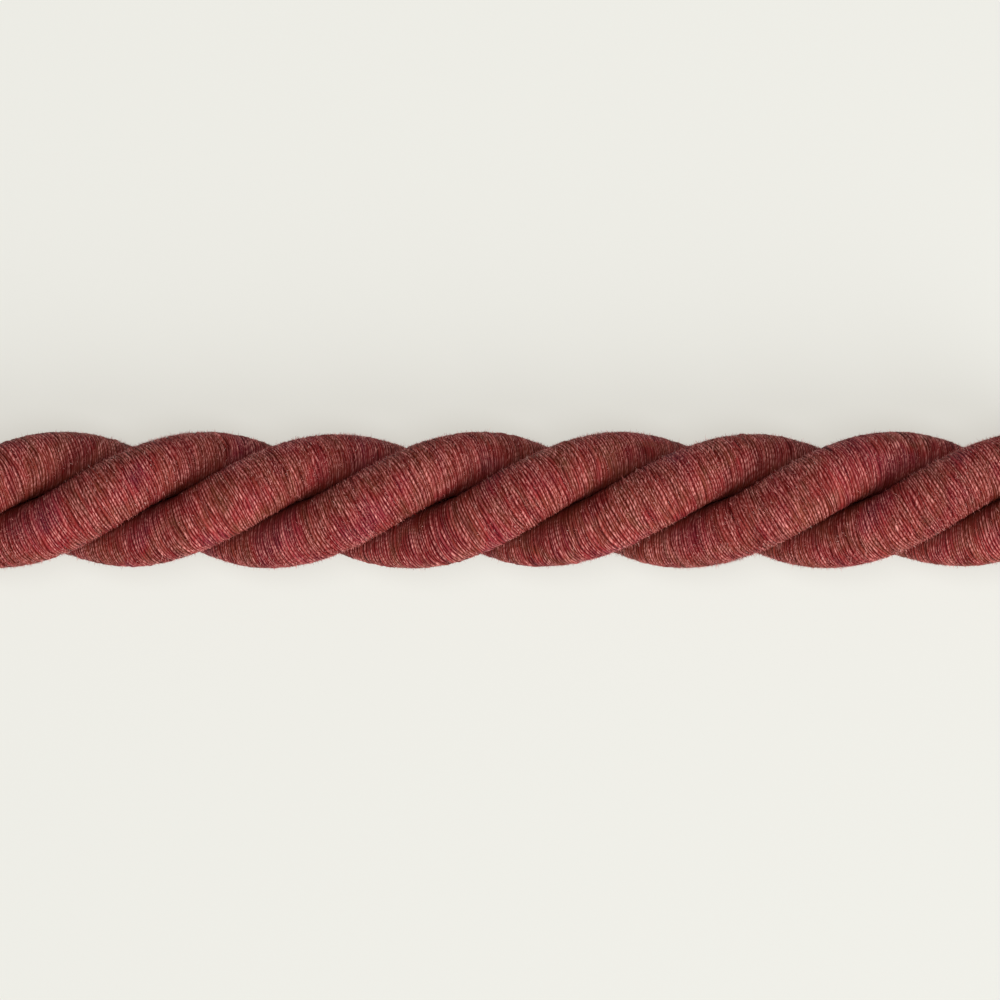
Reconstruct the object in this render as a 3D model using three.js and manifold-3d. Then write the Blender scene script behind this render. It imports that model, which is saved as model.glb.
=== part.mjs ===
// A cut length of thick furnishing cord, lying straight on a flat surface.
// Three strands are laid round each other, like a rope. Each strand is a soft core that is spun round,
// turn beside turn, with fine yarn. The strands press on each other, so their inner sides are flattened,
// and the underside is pressed flat in small spots where the cord lies.
// Millimetres, +Z up, +X along the cord. The origin is the middle of the cord, on the surface under it.
import * as THREE from "three";
import { mergeVertices } from "three/addons/utils/BufferGeometryUtils.js";
import Module from "manifold-3d";

// The cord as bought
const cordDiameter = 12;
const cutLength = 105;
const lead = 37.5; // the length of cord in which a strand goes once round
const restingDepth = 0.25; // how far the underside is pressed in where it lies
const strandGap = 0.3; // left free between two strands

// The strands are laid a little unevenly: the third lies deeper and nearer to one neighbour than the others.
// axisRadius is from the cord's axis to the strand's, and radius the strand's own where nothing presses it.
const strands = [
  { name: "strand_1", startTurn: -0.006, axisRadius: 3.2, radius: 2.87 },
  { name: "strand_2", startTurn: 1 / 3 - 0.001, axisRadius: 3.15, radius: 2.9 },
  { name: "strand_3", startTurn: 2 / 3 + 0.007, axisRadius: 3.01, radius: 2.86 },
];

// How finely the solids are cut
const sectionSides = 18;
const stepsPerTurn = 30;

// A strand's colour as a whole, and its dry, matt yarn
const yarnColour = 0x7c3c38;
const yarnRoughness = 0.85;

const fullTurn = 2 * Math.PI;
const cordAxisHeight = cordDiameter / 2 - restingDepth;
const spareEnd = 3; // each strand is made this much too long at both ends, and then cut square
const pathLength = cutLength + 2 * spareEnd;

// A strand goes from the top of the cord (+Z) over its far side (+Y), as in an S-laid rope.
function strandPoint(along, strand) {
  const turn = fullTurn * (along / lead + strand.startTurn);
  return new THREE.Vector3(
    along,
    strand.axisRadius * Math.sin(turn),
    cordAxisHeight + strand.axisRadius * Math.cos(turn),
  );
}

// The strand's own directions at a place along the cord: onward, away from the cord's axis, and sideways.
function strandFrame(along, strand) {
  const turn = fullTurn * (along / lead + strand.startTurn);
  const slope = (fullTurn * strand.axisRadius) / lead;
  const onward = new THREE.Vector3(1, slope * Math.cos(turn), -slope * Math.sin(turn)).normalize();
  const outward = new THREE.Vector3(0, Math.sin(turn), Math.cos(turn));
  const sideways = new THREE.Vector3().crossVectors(onward, outward);
  return { onward, outward, sideways };
}

// The middle line of a strand, with frames that keep the section's x axis pointing away from the cord's axis.
class StrandPath extends THREE.Curve {
  constructor(strand) {
    super();
    this.strand = strand;
  }

  getPoint(share, target = new THREE.Vector3()) {
    return target.copy(strandPoint((share - 0.5) * pathLength, this.strand));
  }

  computeFrenetFrames(steps) {
    const frames = { tangents: [], normals: [], binormals: [] };
    for (let step = 0; step <= steps; step++) {
      const { onward, outward, sideways } = strandFrame((step / steps - 0.5) * pathLength, this.strand);
      frames.tangents.push(onward);
      frames.normals.push(outward);
      frames.binormals.push(sideways);
    }
    return frames;
  }
}

// The distance from a point to the nearest middle line among the other strands.
function distanceToOthers(point, strand) {
  const searchStep = 0.05;
  let least = Infinity;
  for (const other of strands) {
    if (other === strand) continue;
    for (let along = point.x - lead / 4; along < point.x + lead / 4; along += searchStep) {
      least = Math.min(least, point.distanceTo(strandPoint(along, other)));
    }
  }
  return least;
}

// How far a strand reaches from its middle line: its own radius, or less where it meets a neighbour half-way.
// The angle is counted round the strand, from the side away from the cord's axis.
function reachAt(angle, strand) {
  const halvings = 16;
  const middle = strandPoint(0, strand);
  const { outward, sideways } = strandFrame(0, strand);
  const direction = outward.multiplyScalar(Math.cos(angle)).addScaledVector(sideways, Math.sin(angle));
  let clear = 0;
  let limit = strand.radius;
  for (let halving = 0; halving < halvings; halving++) {
    const tried = (clear + limit) / 2;
    const point = middle.clone().addScaledVector(direction, tried);
    const fits = distanceToOthers(point, strand) - strandGap >= tried;
    if (fits) clear = tried;
    else limit = tried;
  }
  return clear;
}

// The section of a strand: round, and flattened on the two sides where its neighbours press.
function strandSection(strand) {
  const points = [];
  for (let side = 0; side < sectionSides; side++) {
    const angle = (fullTurn * side) / sectionSides;
    const reach = reachAt(angle, strand);
    points.push(new THREE.Vector2(reach * Math.cos(angle), reach * Math.sin(angle)));
  }
  return new THREE.Shape(points);
}

const wasm = await Module();
wasm.setup();

// A closed three.js geometry as a solid that can be cut.
function solidFrom(geometry) {
  const bare = geometry.index ? geometry.toNonIndexed() : geometry.clone();
  bare.deleteAttribute("normal");
  bare.deleteAttribute("uv");
  const merged = mergeVertices(bare, 1e-4);
  return new wasm.Manifold(
    new wasm.Mesh({
      numProp: 3,
      vertProperties: new Float32Array(merged.attributes.position.array),
      triVerts: new Uint32Array(merged.index.array),
    }),
  );
}

function geometryFrom(solid) {
  const mesh = solid.getMesh();
  const geometry = new THREE.BufferGeometry();
  geometry.setAttribute("position", new THREE.BufferAttribute(mesh.vertProperties, mesh.numProp));
  geometry.setIndex(new THREE.BufferAttribute(mesh.triVerts, 1));
  geometry.computeVertexNormals();
  return geometry;
}

// The space that the cut cord may take: between its two square ends, and above the surface it lies on.
function cutSpace() {
  const height = 2 * cordDiameter;
  const box = new THREE.BoxGeometry(cutLength, 2 * cordDiameter, height);
  box.translate(0, 0, height / 2);
  return solidFrom(box);
}

function strandGeometry(strand, space) {
  const tube = new THREE.ExtrudeGeometry(strandSection(strand), {
    steps: Math.round((stepsPerTurn * pathLength) / lead),
    extrudePath: new StrandPath(strand),
  });
  return geometryFrom(solidFrom(tube).intersect(space));
}

const yarn = new THREE.MeshStandardMaterial({
  color: yarnColour,
  roughness: yarnRoughness,
  metalness: 0,
});

const cord = new THREE.Group();
const space = cutSpace();
for (const strand of strands) {
  const mesh = new THREE.Mesh(strandGeometry(strand, space), yarn.clone());
  mesh.name = strand.name;
  cord.add(mesh);
}

export default cord;
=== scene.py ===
import math
from typing import NamedTuple

import bpy
import numpy as np
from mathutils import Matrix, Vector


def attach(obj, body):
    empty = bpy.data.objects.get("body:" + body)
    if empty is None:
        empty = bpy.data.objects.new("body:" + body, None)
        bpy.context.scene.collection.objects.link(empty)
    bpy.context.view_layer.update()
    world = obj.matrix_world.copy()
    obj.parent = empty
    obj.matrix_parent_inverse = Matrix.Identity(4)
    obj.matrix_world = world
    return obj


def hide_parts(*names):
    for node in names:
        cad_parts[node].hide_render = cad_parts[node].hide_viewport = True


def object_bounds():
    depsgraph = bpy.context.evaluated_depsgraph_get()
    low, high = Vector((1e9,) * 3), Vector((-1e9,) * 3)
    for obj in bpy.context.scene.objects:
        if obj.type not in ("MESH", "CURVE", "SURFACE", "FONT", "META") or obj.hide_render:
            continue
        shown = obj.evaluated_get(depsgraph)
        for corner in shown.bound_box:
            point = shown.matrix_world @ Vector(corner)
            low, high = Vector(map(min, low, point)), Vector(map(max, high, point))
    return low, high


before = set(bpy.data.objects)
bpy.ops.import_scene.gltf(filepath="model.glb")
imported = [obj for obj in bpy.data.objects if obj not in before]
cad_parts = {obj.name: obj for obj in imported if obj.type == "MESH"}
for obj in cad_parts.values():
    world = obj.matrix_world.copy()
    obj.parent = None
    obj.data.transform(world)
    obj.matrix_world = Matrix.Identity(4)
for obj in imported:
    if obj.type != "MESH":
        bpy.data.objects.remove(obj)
cad_box = [list(corner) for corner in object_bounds()]

MM = 0.001
FULL_TURN = 2 * math.pi
TINY = 1e-9  # what lies less than this apart is at the same place

# The cord, as in the part's own source
LEAD = 37.5 * MM
AXIS_HEIGHT = 5.75 * MM
CORD_END = cad_box[1][0]
CUT_LENGTH = 2 * CORD_END


class Strand(NamedTuple):
    """One strand. start_turn is where it is in its turn at x = 0, counted from the top of the cord.
    axis_radius is from the cord's axis to the strand's. radius is its own, where nothing presses it."""

    node: str
    start_turn: float
    axis_radius: float
    radius: float
    seed: int


STRANDS = [
    Strand("strand_1", -0.006, 3.20 * MM, 2.87 * MM, 11),
    Strand("strand_2", 1 / 3 - 0.001, 3.15 * MM, 2.90 * MM, 22),
    Strand("strand_3", 2 / 3 + 0.007, 3.01 * MM, 2.86 * MM, 33),
]

# The yarn that is wound round each strand
YARN_PITCH = 0.191 * MM  # from one turn to the next, measured along the cord
YARN_STARTS = 4  # yarns that are wound side by side
YARN_RELIEF = 0.085 * MM  # from the bottom of the furrow between two turns to the top of a turn
YARN_PROFILE = np.array([0, 0.75, 1, 0.75])  # the height across one turn, as shares of the relief
FURROW_HEIGHT = 0.15  # how far the bottom of a furrow lies over the core, as a share of the relief
ROWS_A_TURN = len(YARN_PROFILE)
WANDER = 0.25  # how far a turn strays from its even place, in pitches
SHOULDER = 0.38 * MM  # how softly the round side goes over into the pressed side
# The dark of a groove is painted shade; the nap's shelter in a groove fades with the same reach
GROOVE = 1.6 * MM  # how soon the dark of a groove fades with the way to the neighbour
FULLNESS_SPREAD = 0.34  # how unlike each other the turns are in height
LUMPS = 0.035 * MM  # slow unevenness of the core
SEAM = 0.6  # radians on both sides of the hidden seam, over which the unevenness dies away towards it

# The nap: loose fibres, of which some stand up and the others lie along the yarn
STANDING_SHARE = 0.5
FIBRES_TRIED = 135000  # on each strand; about 80,000 are kept, because few stand where strands meet
SHELTER = 1.3  # how surely the groove between two strands keeps fibres away
ROOT_HEIGHT = 0.02 * MM  # of a fibre's root over the middle of the covering
HEADING_SPREAD = 0.35  # how far, in radians, a fibre's heading strays from the yarn's

# The cut ends
CORE_YARN_SPACING = 0.62  # millimetres from one yarn of the core to the next
CORE_YARN_STRAY = 0.16  # millimetres, how far a yarn strays from its even place
CORE_FURROW = 0.22  # millimetres, over which a yarn's end goes down to the furrow round it
CORE_YARN_RELIEF = 0.08 * MM  # how deep the furrows are
FRAYED_FIBRES = 8000  # on each end of each strand
FRAYED_ROOT = 0.06 * MM  # how far behind the cut face they start

# The photograph: its width across the cord, and the place on the cord at its middle
PICTURE_WIDTH = 90.36 * MM
PICTURE_MIDDLE = -1.175 * MM
CAMERA_DISTANCE = 1.0
LIGHT_DISTANCE = 1.1


def paint(red, green, blue):
    """A colour as a paint chart gives it, 0 to 255, turned into the light that it sends back."""
    shares = [value / 255 for value in (red, green, blue)]
    return tuple(s / 12.92 if s <= 0.04045 else ((s + 0.055) / 1.055) ** 2.4 for s in shares) + (1.0,)


# Colours of the heathered yarn
# Painted shade, for the grooves between strands
SHADOW = paint(78, 24, 15)
MAROON = paint(54, 6, 8)
CRIMSON = paint(107, 4, 13)
MADDER = paint(125, 15, 19)
RUSSET = paint(106, 53, 28)
MAUVE = paint(111, 16, 47)
ROSE = paint(167, 59, 60)
CORAL = paint(224, 146, 139)
PALE_FIBRE = paint(242, 196, 186)
COTTON_CORE = paint(176, 96, 88)
BLACK = (0, 0, 0, 1)
WHITE = (1, 1, 1, 1)
FLOOR = paint(136, 140, 141)
FLOOR_GLOW = paint(241, 237, 226)


# Where the strands lie


def lay(strand, along):
    """The strand's middle line at places along the cord, and its directions outward and sideways there."""
    turn = FULL_TURN * (along / LEAD + strand.start_turn)
    zero = np.zeros_like(turn)
    slope = FULL_TURN * strand.axis_radius / LEAD
    outward = np.stack([zero, np.sin(turn), np.cos(turn)], axis=-1)
    sideways = np.stack([zero + slope, -np.cos(turn), np.sin(turn)], axis=-1) / math.hypot(1, slope)
    middle = np.stack([along + zero, zero, zero + AXIS_HEIGHT], axis=-1) + strand.axis_radius * outward
    return middle, outward, sideways


def distance_to_others(strand, points):
    """How far each point is from the nearest middle line among the other strands."""
    search_step = 0.05 * MM
    steps = np.arange(-LEAD / 4, LEAD / 4, search_step)
    distances = []
    for other in STRANDS:
        if other is not strand:
            middle, _, _ = lay(other, points[:, :1] + steps)
            distances.append(np.linalg.norm(middle - points[:, None], axis=-1).min(axis=1))
    return np.min(distances, axis=0)


def half_way(strand, angles):
    """How far it is from the strand's middle line to the place half-way to a neighbour.
    The angles are counted round the strand, from the side away from the cord's axis."""
    halvings = 20
    free = 5 * strand.radius  # the answer where no neighbour is met
    middle, outward, sideways = lay(strand, np.zeros(1))
    ways = np.cos(angles)[:, None] * outward + np.sin(angles)[:, None] * sideways
    clear = np.zeros_like(angles)
    limit = np.full_like(angles, free)
    for _ in range(halvings):
        tried = (clear + limit) / 2
        fits = distance_to_others(strand, middle + ways * tried[:, None]) >= tried
        clear = np.where(fits, tried, clear)
        limit = np.where(fits, limit, tried)
    return clear


def reach(strand, angles):
    """How far the strand reaches from its middle line: its radius, or half-way to a neighbour that presses
    it, with a soft shoulder between the two."""
    both = np.exp(-strand.radius / SHOULDER) + np.exp(-half_way(strand, angles) / SHOULDER)
    return -SHOULDER * np.log(both)


def depth_in_groove(strand, angles):
    """Near 0 where the strand lies open, 1 where a neighbour presses on it."""
    return np.exp(-np.clip(half_way(strand, angles) - strand.radius, 0, None) / GROOVE)


def on_strand(strand, along, angle, distance):
    """Points at a distance from the strand's middle line, kept between the cord's two cut ends."""
    slope = FULL_TURN * strand.axis_radius / LEAD
    lean = distance * np.sin(angle) * slope / math.hypot(1, slope)
    along = np.clip(along, -CORD_END - lean, CORD_END - lean)
    middle, outward, sideways = lay(strand, along)
    across = np.cos(angle)[..., None] * outward + np.sin(angle)[..., None] * sideways
    return middle + distance[..., None] * across


def soft_noise(random, shape, spread):
    """Seeded noise with a spread of 1, smoothed over so many places down and across."""
    field = random.normal(size=shape)
    for axis, width in enumerate(spread):
        reach_of_kernel = int(3 * width) + 1
        kernel = np.exp(-0.5 * (np.arange(-reach_of_kernel, reach_of_kernel + 1) / width) ** 2)
        field = np.apply_along_axis(np.convolve, axis, field, kernel / kernel.sum(), mode="same")
    return field / field.std()


# Making meshes


def new_piece(name, points, faces, material):
    """A smooth-shaded mesh whose faces all have the same number of corners."""
    mesh = bpy.data.meshes.new(name)
    mesh.vertices.add(len(points))
    mesh.vertices.foreach_set("co", np.ascontiguousarray(points, np.float32).ravel())
    sides = faces.shape[1]
    mesh.loops.add(faces.size)
    mesh.loops.foreach_set("vertex_index", np.ascontiguousarray(faces, np.int32).ravel())
    mesh.polygons.add(len(faces))
    mesh.polygons.foreach_set("loop_start", np.arange(0, faces.size, sides, dtype=np.int32))
    mesh.polygons.foreach_set("use_smooth", np.ones(len(faces), bool))
    mesh.update()
    mesh.validate()
    mesh.materials.append(material)
    piece = bpy.data.objects.new(name, mesh)
    bpy.context.scene.collection.objects.link(piece)
    return piece


def write_map(piece, places):
    """The map on which the finish can be baked, one place for each corner of each face."""
    layer = piece.data.uv_layers.new(name="OFBake")
    layer.uv.foreach_set("vector", np.ascontiguousarray(places, np.float32).ravel())


def write_vector(piece, name, values):
    """Three numbers for each point of the mesh, for its finish to read."""
    layer = piece.data.attributes.new(name, "FLOAT_VECTOR", "POINT")
    layer.data.foreach_set("vector", np.ascontiguousarray(values, np.float32).ravel())


def grid_faces(rows, columns):
    """Four-cornered faces over a grid of points, and the row and column of each face."""
    row, column = np.meshgrid(np.arange(rows - 1), np.arange(columns - 1), indexing="ij")
    row, column = row.ravel(), column.ravel()
    first = row * columns + column
    faces = np.stack([first, first + 1, first + columns + 1, first + columns], axis=1)
    return faces, row, column


# Shader maths


class Wire:
    """What comes out of a node, so that shader maths reads as plain sums."""

    def __init__(self, finish, socket):
        self.finish = finish
        self.socket = socket

    def maths(self, operation, first, second):
        return self.finish.node("ShaderNodeMath", {"operation": operation}, {0: first, 1: second})

    def __add__(self, other):
        return self.maths("ADD", self, other)

    def __radd__(self, other):
        return self.maths("ADD", other, self)

    def __sub__(self, other):
        return self.maths("SUBTRACT", self, other)

    def __rsub__(self, other):
        return self.maths("SUBTRACT", other, self)

    def __mul__(self, other):
        return self.maths("MULTIPLY", self, other)

    def __rmul__(self, other):
        return self.maths("MULTIPLY", other, self)


class Finish:
    """A material, with one shader whose sockets are set by name."""

    def __init__(self, name):
        self.material = bpy.data.materials.new(name)
        self.material.use_nodes = True
        self.tree = self.material.node_tree
        self.tree.nodes.clear()
        self.shader = self.tree.nodes.new("ShaderNodeBsdfPrincipled")
        output = self.tree.nodes.new("ShaderNodeOutputMaterial")
        self.tree.links.new(self.shader.outputs[0], output.inputs["Surface"])

    def fill(self, socket, value):
        if isinstance(value, Wire):
            self.tree.links.new(value.socket, socket)
        else:
            socket.default_value = value

    def node(self, kind, settings, inputs, output=0):
        """Adds a node and gives what comes out of it. Its inputs are wires or plain values."""
        made = self.tree.nodes.new(kind)
        for name, value in settings.items():
            if name == "stops":
                self.write_stops(made.color_ramp.elements, value)
            elif name == "interpolation":
                made.color_ramp.interpolation = value
            else:
                setattr(made, name, value)
        for name, value in inputs.items():
            self.fill(made.inputs[name], value)
        return Wire(self, made.outputs[output])

    def write_stops(self, elements, stops):
        while len(elements) < len(stops):
            elements.new(1.0)
        for element, (place, colour) in zip(elements, stops):
            element.position = place
            element.color = colour

    def mix(self, share, first, second):
        return self.node("ShaderNodeMix", {"data_type": "RGBA"}, {0: share, 6: first, 7: second}, output=2)

    def noise(self, place, detail, scale=1.0):
        inputs = {"Vector": place, "Scale": scale, "Detail": detail}
        return self.node("ShaderNodeTexNoise", {"noise_dimensions": "3D"}, inputs)

    def ramp(self, value, stops, interpolation="LINEAR"):
        settings = {"interpolation": interpolation, "stops": stops}
        return self.node("ShaderNodeValToRGB", settings, {"Fac": value})

    def vector(self, x, y, z):
        return self.node("ShaderNodeCombineXYZ", {}, {0: x, 1: y, 2: z})

    def attribute(self, name):
        """The three numbers that write_vector wrote under this name."""
        settings = {"attribute_type": "GEOMETRY", "attribute_name": name}
        place = self.node("ShaderNodeAttribute", settings, {}, output=1)
        return [self.node("ShaderNodeSeparateXYZ", {}, {0: place}, output=n) for n in range(3)]

    def wear(self, **sockets):
        """Sets the shader's own sockets. An underscore stands for a space."""
        for name, value in sockets.items():
            self.fill(self.shader.inputs[name.replace("_", " ")], value)
        return self.material


def dye_yarn(finish, number, way, strand, pick, drift):
    """The reds of the yarn: each turn has its own, mixed with clouds of a few turns and with wide drifts."""
    heather = [(0.0, MADDER), (0.25, CRIMSON), (0.5, MAROON), (0.65, RUSSET), (0.78, MAUVE), (0.9, ROSE)]
    dyed = finish.ramp(pick, heather, "CONSTANT")
    cloud = finish.noise(finish.vector(number * 0.47, way * 0.2, strand * 5.1), 2.0)
    clouded = finish.ramp(cloud, [(0.4, MAROON), (0.46, CRIMSON), (0.53, MADDER), (0.59, ROSE)])
    drifted = finish.ramp(drift, [(0.36, MAUVE), (0.46, MADDER), (0.56, RUSSET), (0.64, CRIMSON)])
    return finish.mix(0.55, finish.mix(0.5, dyed, clouded), drifted)


def pale_dashes(finish, number, way, strand, across, pick, drift, fibre):
    """How pale the top of a turn is, partly its pale fibres and partly a painted highlight: dashes, as its
    twist brings up light fibres, in clusters.
    A dash lies aslant across its turn, and in each turn the dashes begin elsewhere."""
    light_fibre = finish.ramp(fibre, [(0.44, BLACK), (0.6, WHITE)])
    cluster = finish.noise(finish.vector(number * 0.6, way * 0.45, strand * 7.9), 3.0)
    clustered = finish.ramp(cluster, [(0.4, BLACK), (0.58, WHITE)])
    dashes_a_mm = 1.68
    twist = way * dashes_a_mm + across * 0.5 + drift * 9.0 + pick * 0.75
    place_in_twist = finish.node("ShaderNodeMath", {"operation": "FRACT"}, {0: twist})
    dash = finish.ramp(place_in_twist, [(0.0, BLACK), (0.25, WHITE), (0.6, WHITE), (0.9, BLACK)])
    return (clustered * 0.78 + 0.14) * (light_fibre * 0.6 + 0.4) * (dash * 0.9 + 0.1)


def spun_yarn():
    """Heathered cotton yarn: turns of different reds, pale dashes along each with a painted highlight on the
    top of each turn, and painted shade in the furrows between turns.
    The attribute yarn holds the number of the turn with the way across it as its fraction, the way along
    its thread in millimetres, and a number for the strand.
    The other attribute says how deep the place lies between two strands, which sets how much painted shade
    it gets there."""
    finish = Finish("spun_yarn")
    turn, way, strand = finish.attribute("yarn")
    groove, _, _ = finish.attribute("groove")
    number = finish.node("ShaderNodeMath", {"operation": "FLOOR"}, {0: turn})
    across = turn - number
    seed = finish.vector(number, strand, 0.0)
    pick = finish.node("ShaderNodeTexWhiteNoise", {"noise_dimensions": "2D"}, {"Vector": seed})
    drift = finish.noise(finish.vector(number * 0.045, way * 0.16, strand * 3.3), 2.0)
    fibre = finish.noise(finish.vector(number * 7.3 + across * 1.5, way * 1.1, strand * 9.7), 5.0)
    sway = finish.noise(finish.vector(number * 3.7, way * 0.45, strand * 2.3), 1.0)
    swayed = across + (sway - 0.5) * 1.1  # so that no crest or furrow looks ruled
    # The top of each turn, where the painted highlight goes
    crest_highlight = finish.ramp(swayed, [(0.14, BLACK), (0.4, WHITE), (0.6, WHITE), (0.86, BLACK)])
    # The furrow between turns, where painted shade goes
    furrow = finish.ramp(swayed, [(0.0, WHITE), (0.3, BLACK), (0.7, BLACK), (1.0, WHITE)])

    dyed = dye_yarn(finish, number, way, strand, pick, drift)
    pale_fibres_and_highlight = pale_dashes(finish, number, way, strand, across, pick, drift, fibre)
    # Pale fibres and a painted highlight on the top of each turn, in coral
    streaked_and_highlighted = finish.mix(crest_highlight * (pale_fibres_and_highlight + 0.04), dyed, CORAL)
    # Painted shade in the furrows between turns, in maroon
    wound = finish.mix(furrow * (0.9 - pick * 0.35), streaked_and_highlighted, MAROON)
    # Painted shade in the grooves between strands
    colour = finish.mix(groove * 0.8, wound, SHADOW)
    bump = finish.node("ShaderNodeBump", {}, {"Strength": 0.5, "Distance": 0.03 * MM, "Height": fibre})
    return finish.wear(Base_Color=colour, Normal=bump, Roughness=0.5, Specular_IOR_Level=0.06)


def loose_fibre():
    """Single fibres, off the yarn or out of a cut end. The attribute tint says how pale each one is."""
    finish = Finish("loose_fibre")
    tint, _, _ = finish.attribute("tint")
    colour = finish.ramp(tint, [(0.0, MAROON), (0.4, MADDER), (0.8, CORAL), (1.0, PALE_FIBRE)])
    return finish.wear(Base_Color=colour, Roughness=0.8, Specular_IOR_Level=0.06)


def cut_cotton():
    """The cut face of a strand: the ends of its core's yarns, each a little different.
    The attribute core holds the number of the yarn and how near the place is to the furrow round it."""
    finish = Finish("cut_cotton")
    number, dip, _ = finish.attribute("core")
    pick = finish.node("ShaderNodeTexWhiteNoise", {"noise_dimensions": "1D"}, {"W": number})
    dyed = finish.ramp(pick, [(0.0, ROSE), (0.4, COTTON_CORE), (1.0, CORAL)])
    place = finish.node("ShaderNodeTexCoord", {}, {}, output=3)
    fibre = finish.noise(place, 3.0, scale=9000.0)
    speckled = finish.mix(fibre * 0.6, dyed, MADDER)
    colour = finish.mix(dip * 0.35, speckled, CRIMSON)
    bump = finish.node("ShaderNodeBump", {}, {"Strength": 0.6, "Distance": 0.05 * MM, "Height": fibre})
    return finish.wear(Base_Color=colour, Normal=bump, Roughness=0.85)


def pale_floor():
    finish = Finish("studio_floor")
    return finish.wear(Base_Color=FLOOR, Roughness=0.9, Emission_Color=FLOOR_GLOW, Emission_Strength=0.6)


# The camera and the light


def make_camera():
    data = bpy.data.cameras.new("camera")
    data.sensor_width = 36
    data.lens = data.sensor_width * CAMERA_DISTANCE / PICTURE_WIDTH
    data.clip_start = 0.01
    camera = bpy.data.objects.new("camera", data)
    camera.location = (PICTURE_MIDDLE, 0, AXIS_HEIGHT + CAMERA_DISTANCE)
    bpy.context.scene.collection.objects.link(camera)
    bpy.context.scene.camera = camera


def make_floor():
    half = 1.5
    drop = 0.02 * MM
    corners = [(-half, -half, -drop), (half, -half, -drop), (half, half, -drop), (-half, half, -drop)]
    floor = new_piece("floor", np.array(corners), np.array([[0, 1, 2, 3]]), pale_floor())


def hang_light(name, nearward, rightward, size, energy):
    """A round soft light that faces the cord. It hangs so many degrees down from overhead,
    towards the near side and towards the right."""
    data = bpy.data.lights.new(name, "AREA")
    data.shape = "DISK"
    data.size = size
    data.energy = energy
    data.color = (1.0, 0.985, 0.96)
    near, right = math.radians(nearward), math.radians(rightward)
    light = bpy.data.objects.new(name, data)
    light.location = [
        LIGHT_DISTANCE * math.cos(near) * math.sin(right),
        -LIGHT_DISTANCE * math.sin(near),
        LIGHT_DISTANCE * math.cos(near) * math.cos(right),
    ]
    light.rotation_euler = (near, right, 0)
    bpy.context.scene.collection.objects.link(light)


def make_light():
    """Soft light from overhead, more from low on the near right side, and a little from all round."""
    world = bpy.data.worlds.new("studio")
    bpy.context.scene.world = world
    world.use_nodes = True
    background = world.node_tree.nodes["Background"]
    background.inputs["Color"].default_value = (1.0, 0.985, 0.965, 1)
    background.inputs["Strength"].default_value = 0.08
    hang_light("overhead_light", nearward=0, rightward=0, size=0.8, energy=9.6)
    hang_light("window_light", nearward=36, rightward=49, size=0.9, energy=13.0)
    bpy.context.scene.view_settings.view_transform = "Standard"


# The pieces


def round_angles():
    """Angles round a strand, from one side of its hidden seam to the other: close together where it shows,
    and wider apart where its neighbours hide it."""
    shown = math.radians(118)
    shown_places, hidden_places = 35, 9
    outer = np.linspace(-shown, shown, shown_places)
    inner = np.linspace(shown, FULL_TURN - shown, hidden_places)[1:-1]
    hidden_right = inner[inner <= math.pi + TINY]
    hidden_left = inner[inner >= math.pi - TINY] - FULL_TURN
    return np.concatenate([hidden_left, outer, hidden_right])


def lumpy(random, rows, angles):
    """How far the core's slow unevenness lifts the covering, for each of its rows and angles."""
    places = 120
    field = soft_noise(random, (places, len(angles)), (2.5, 5))
    at = np.linspace(0, places - 1, rows)
    low = np.minimum(at.astype(int), places - 2)
    share = (at - low)[:, None]
    return LUMPS * (field[low] * (1 - share) + field[low + 1] * share)


def turn_edges(random, turns, angles, calm):
    """Where each turn of the yarn begins, in pitches. It strays a little from its even place."""
    edges = turns + 2
    stray = soft_noise(random, (edges, len(angles)), (0.6, 3))
    return np.arange(edges)[:, None] + WANDER * calm * stray


def map_in_bands(piece, rows, columns, face_row, face_column):
    """The long covering is cut into three bands, which lie beside each other on its map."""
    bands = 3
    end_margin, side_margin = 0.01, 0.02
    band_rows = rows / bands
    band = np.floor(face_row / band_rows)
    corner_row = face_row[:, None] + np.array([0, 0, 1, 1])
    corner_column = face_column[:, None] + np.array([0, 1, 1, 0])
    u = end_margin + (1 - 2 * end_margin) * (corner_row - band[:, None] * band_rows) / band_rows
    v = (band[:, None] + side_margin + (1 - 2 * side_margin) * corner_column / (columns - 1)) / bands
    write_map(piece, np.stack([u, v], axis=-1))


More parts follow.
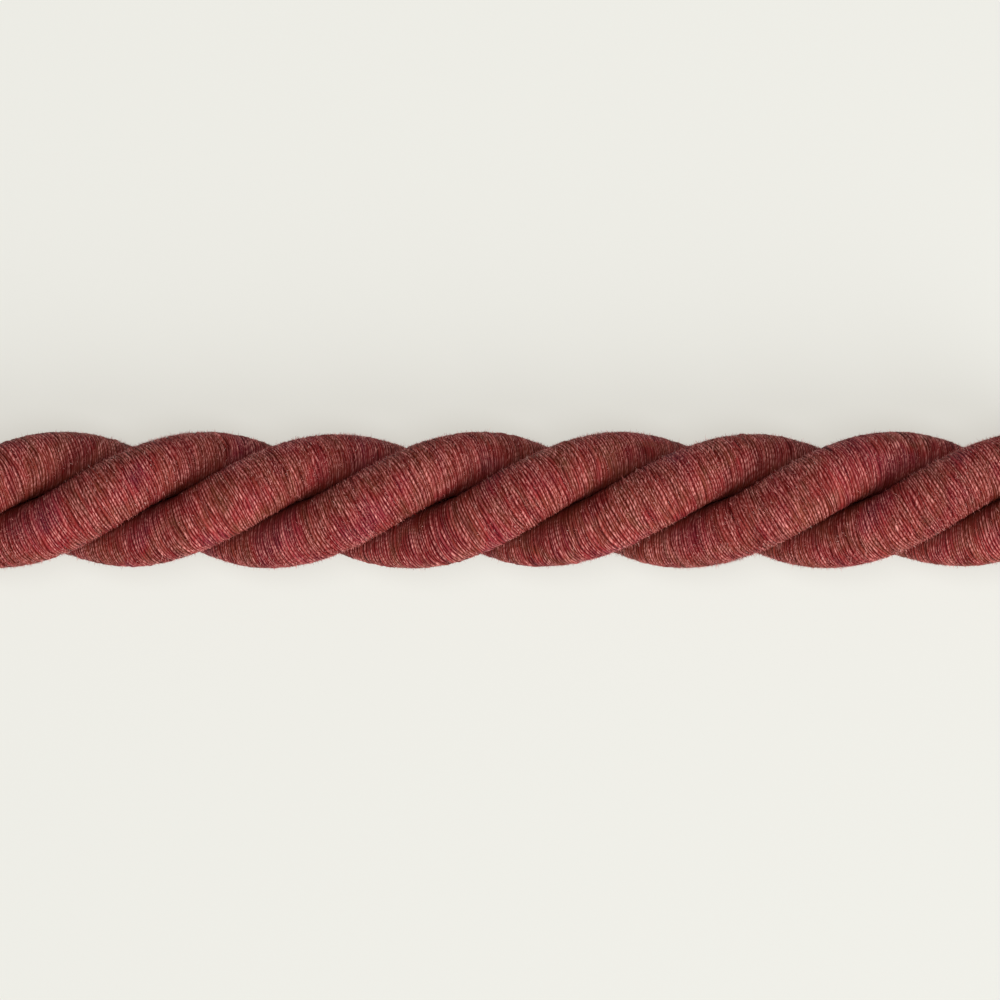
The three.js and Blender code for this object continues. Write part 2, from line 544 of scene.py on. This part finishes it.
def wind_yarn(strand, material):
    """The yarn covering of one strand: each turn of yarn is a ridge that runs round it, four abreast.
    It is wound past both ends, and what lies past them is cut away."""
    random = np.random.default_rng(strand.seed)
    angles = round_angles()
    spare = strand.radius / 2 + YARN_PITCH * (YARN_STARTS / 2 + 1)
    turns = math.ceil((CUT_LENGTH + 2 * spare) / YARN_PITCH)
    rows = turns * ROWS_A_TURN + 1
    row = np.arange(rows)
    turn = row // ROWS_A_TURN
    calm = np.clip((math.pi - np.abs(angles)) / SEAM, 0, 1)

    edge = turn_edges(random, turns, angles, calm)
    share = (row % ROWS_A_TURN / ROWS_A_TURN)[:, None]
    place = edge[turn] * (1 - share) + edge[turn + 1] * share
    along = -CORD_END - spare + YARN_PITCH * (place + YARN_STARTS * angles / FULL_TURN)

    fullness = 1 + FULLNESS_SPREAD * soft_noise(random, (turns + 1, len(angles)), (0.5, 4))
    height = YARN_PROFILE[row % ROWS_A_TURN][:, None] * fullness[turn] + FURROW_HEIGHT
    distance = reach(strand, angles) + calm * lumpy(random, rows, angles) + YARN_RELIEF * height
    points = on_strand(strand, along, np.broadcast_to(angles, along.shape), distance)
    points[..., 2] = np.maximum(points[..., 2], 0)

    faces, face_row, face_column = grid_faces(rows, len(angles))
    corner_along = points[..., 0].ravel()[faces]
    at_an_end = np.abs(corner_along[:, 0]) > CORD_END - TINY
    kept = ~(at_an_end & (np.ptp(corner_along, axis=1) < TINY))
    piece = new_piece(f"{strand.node}_yarn", points.reshape(-1, 3), faces[kept], material)

    thread_way = np.broadcast_to(angles * strand.radius / MM, along.shape)
    turn_number = np.broadcast_to((row / ROWS_A_TURN)[:, None], along.shape)
    seed = np.full(along.shape, float(strand.seed))
    write_vector(piece, "yarn", np.stack([turn_number, thread_way, seed], axis=-1))
    # How deep each place lies between two strands, which the finish paints as shade
    groove = np.broadcast_to(depth_in_groove(strand, angles), along.shape)
    write_vector(piece, "groove", np.stack([groove, groove, groove], axis=-1))
    map_in_bands(piece, rows, len(angles), face_row[kept], face_column[kept])
    return piece


def make_blades(name, roots, tips, facing, widths, tints, material):
    """Single fibres: narrow blades that taper from root to tip, each with its own paleness.
    On the map, each has a square cell to itself."""
    way = tips - roots
    across = np.cross(way, facing)
    across *= (widths / 2 / np.linalg.norm(across, axis=1))[:, None]
    points = np.stack([roots - across, roots + across, tips], axis=1)
    points[..., 2] = np.maximum(points[..., 2], 0)
    count = len(roots)
    faces = np.arange(3 * count).reshape(-1, 3)
    piece = new_piece(name, points.reshape(-1, 3), faces, material)
    write_vector(piece, "tint", np.repeat(tints, 3)[:, None] * np.ones(3))
    cells = math.ceil(math.sqrt(count))
    cell = np.arange(count)[:, None]
    margin = 0.2
    inside = 1 - 2 * margin
    u = (cell % cells + margin + inside * np.array([0, 1, 0.5])) / cells
    v = (cell // cells + margin + inside * np.array([0, 0, 1])) / cells
    write_map(piece, np.stack([u, v], axis=-1))
    return piece


def raise_nap(strand, material):
    """The nap: short fibres that lie along the yarn or stand off it, sparse where strands meet."""
    random = np.random.default_rng(strand.seed + 500)
    shown = math.radians(122)
    steps = np.linspace(-shown, shown, 90)
    angle = random.uniform(-shown, shown, FIBRES_TRIED)
    sheltered = np.interp(angle, steps, depth_in_groove(strand, steps))
    angle = angle[random.uniform(0, 1, FIBRES_TRIED) > SHELTER * sheltered]
    count = len(angle)
    along = random.uniform(-CORD_END, CORD_END, count)
    distance = np.interp(angle, steps, reach(strand, steps))
    size = random.gamma(1.6, 1.0, count)
    stands = random.uniform(0, 1, count) < STANDING_SHARE
    length = np.where(stands, 0.14 + 0.075 * size, 0.09 + 0.05 * size) * MM
    heading = random.choice([-1, 1], count) * FULL_TURN / 4 + random.normal(0, HEADING_SPREAD, count)
    standing_lift = random.uniform(0.2, 1.25, count)
    lift = np.where(stands, standing_lift, 0.05 + 1.1 * random.beta(1.0, 1.7, count))
    flat = length * np.cos(lift)
    roots = on_strand(strand, along, angle, distance + ROOT_HEIGHT)
    tips = on_strand(
        strand,
        along + flat * np.cos(heading),
        angle + flat * np.sin(heading) / distance,
        distance + ROOT_HEIGHT + length * np.sin(lift),
    )
    middle, _, _ = lay(strand, along)
    # Fibres that stand higher are paler and those lying flat darker: painted light and shade, over a random
    # paleness of their own
    tints = 0.5 * lift - 0.05 + 0.5 * random.uniform(0, 1, count) ** 2
    widths = np.where(stands, 0.034, 0.016 + 0.005 * size) * MM
    return make_blades(f"{strand.node}_nap", roots, tips, roots - middle, widths, tints, material)


def place_core_yarns(random):
    """The places of the core's yarns on a cut face, in millimetres from the strand's middle.
    Every other row is shifted by half a yarn, as round things pack, and each yarn strays a little."""
    row_spacing = 0.87
    numbers = np.arange(-7, 8)
    centres = [(column + row % 2 / 2, row * row_spacing) for row in numbers for column in numbers]
    stray = random.normal(0, CORE_YARN_STRAY, (len(centres), 2))
    return np.array(centres) * CORE_YARN_SPACING + stray


def nearest_core_yarn(centres, places):
    """The number of the nearest yarn, and how full it is there: 1 well inside it, 0 at its edge."""
    distances = np.linalg.norm(places[:, None] - centres, axis=-1)
    two = np.partition(distances, 1, axis=1)[:, :2]
    return distances.argmin(axis=1), np.clip((two[:, 1] - two[:, 0]) / CORE_FURROW, 0, 1)


def on_cut_face(strand, side, angle, distance):
    """Points on the square face at one end of a strand, and their places from its middle in millimetres.
    They are asked for far past the end, and on_strand brings them back to it."""
    past_the_end = side * CUT_LENGTH
    points = on_strand(strand, np.full(distance.shape, past_the_end), angle, distance)
    middle = on_strand(strand, np.array([past_the_end]), np.zeros(1), np.zeros(1))[0]
    return points, (points[..., 1:] - middle[1:]).reshape(-1, 2) / MM


def close_ends(strand, core_yarns, material):
    """The two square cut faces of a strand, with the ends of its core's yarns inside a plain rim.
    Each face is made of rings round its middle. A ring is a share of the way to the outline."""
    rim = 0.96
    map_width = 8  # millimetres of the face, across its half of the map
    numbers_apart = 400.0  # between the yarn numbers of the two faces
    angles = np.linspace(-math.pi, math.pi, 97)
    outline = reach(strand, angles) + YARN_RELIEF / 2
    rings = np.concatenate([np.linspace(0.001, 0.95, 31), [0.975, 1.0]])
    ring = np.repeat(rings, len(angles))
    faces, _, _ = grid_faces(len(rings), len(angles))
    all_points, all_faces, all_core, all_places = [], [], [], []
    for end, side in enumerate((-1, 1)):
        distance = rings[:, None] * outline
        points, places = on_cut_face(strand, side, np.broadcast_to(angles, distance.shape), distance)
        nearest, fullness = nearest_core_yarn(core_yarns[end], places)
        dip = np.where(ring > rim, np.clip((ring - 0.97) * 20, 0, 0.6), 1 - fullness)
        points = points.reshape(-1, 3)
        points[:, 0] -= side * CORE_YARN_RELIEF * dip * (ring < 1)
        points[:, 2] = np.maximum(points[:, 2], 0)
        outward_faces = faces[:, ::-1] if side < 0 else faces
        all_faces.append(outward_faces + end * len(points))
        all_points.append(points)
        all_core.append(np.stack([nearest + numbers_apart * end + strand.seed, dip, dip], axis=-1))
        all_places.append((places[outward_faces] / map_width + 0.5) * [0.5, 1] + [0.5 * end, 0])
    points, faces = np.concatenate(all_points), np.concatenate(all_faces)
    piece = new_piece(f"{strand.node}_cut_ends", points, faces, material)
    write_vector(piece, "core", np.concatenate(all_core))
    write_map(piece, np.concatenate(all_places))
    return piece


def fray_ends(strand, core_yarns, material):
    """The cut fibres of the core, which stand out of the two faces in tufts, one tuft for each yarn."""
    random = np.random.default_rng(strand.seed + 1300)
    count = FRAYED_FIBRES
    steps = np.linspace(-math.pi, math.pi, 181)
    outline = reach(strand, steps)
    both_ends = []
    for side, centres in zip((-1, 1), core_yarns):
        angle = random.uniform(-math.pi, math.pi, count)
        from_middle = np.sqrt(random.uniform(0, 1, count))
        distance = 0.97 * from_middle * np.interp(angle, steps, outline)
        roots, places = on_cut_face(strand, side, angle, distance)
        nearest, fullness = nearest_core_yarn(centres, places)
        out_of_yarn = (places - centres[nearest]) * 0.9 + 0.09 * places
        splay = out_of_yarn + random.normal(0, 0.8, (count, 2))
        way = np.concatenate([np.full((count, 1), float(side)), splay], axis=1)
        way /= np.linalg.norm(way, axis=1)[:, None]
        length = (0.14 + random.gamma(2.0, 0.07, count)) * (0.5 + 0.5 * fullness) * MM
        roots[:, 0] -= side * FRAYED_ROOT
        tips = roots + way * (length + FRAYED_ROOT)[:, None]
        facing = random.normal(size=(count, 3))
        widths = random.uniform(0.016, 0.03, count) * MM
        yarn_tint = random.uniform(0.45, 0.85, len(centres))[nearest]
        tints = yarn_tint * (0.75 + 0.25 * fullness) + random.normal(0, 0.11, count)
        both_ends.append((roots, tips, facing, widths, tints))
    blades = [np.concatenate(pair) for pair in zip(*both_ends)]
    return make_blades(f"{strand.node}_frayed_ends", *blades, material)


def make_cord():
    """Winds, fuzzes and closes the three strands, and says that together they are one rope."""
    yarn, fibre, cotton = spun_yarn(), loose_fibre(), cut_cotton()
    covers, extras = [], []
    for strand in STRANDS:
        cover = wind_yarn(strand, yarn)
        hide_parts(strand.node)
        covers.append(cover)
        random = np.random.default_rng(strand.seed + 900)
        core_yarns = [place_core_yarns(random), place_core_yarns(random)]
        extras.append(raise_nap(strand, fibre))
        extras.append(close_ends(strand, core_yarns, cotton))
        extras.append(fray_ends(strand, core_yarns, fibre))
    for piece in covers + extras:
        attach(piece, "root")


make_camera()
make_cord()
make_floor()
make_light()
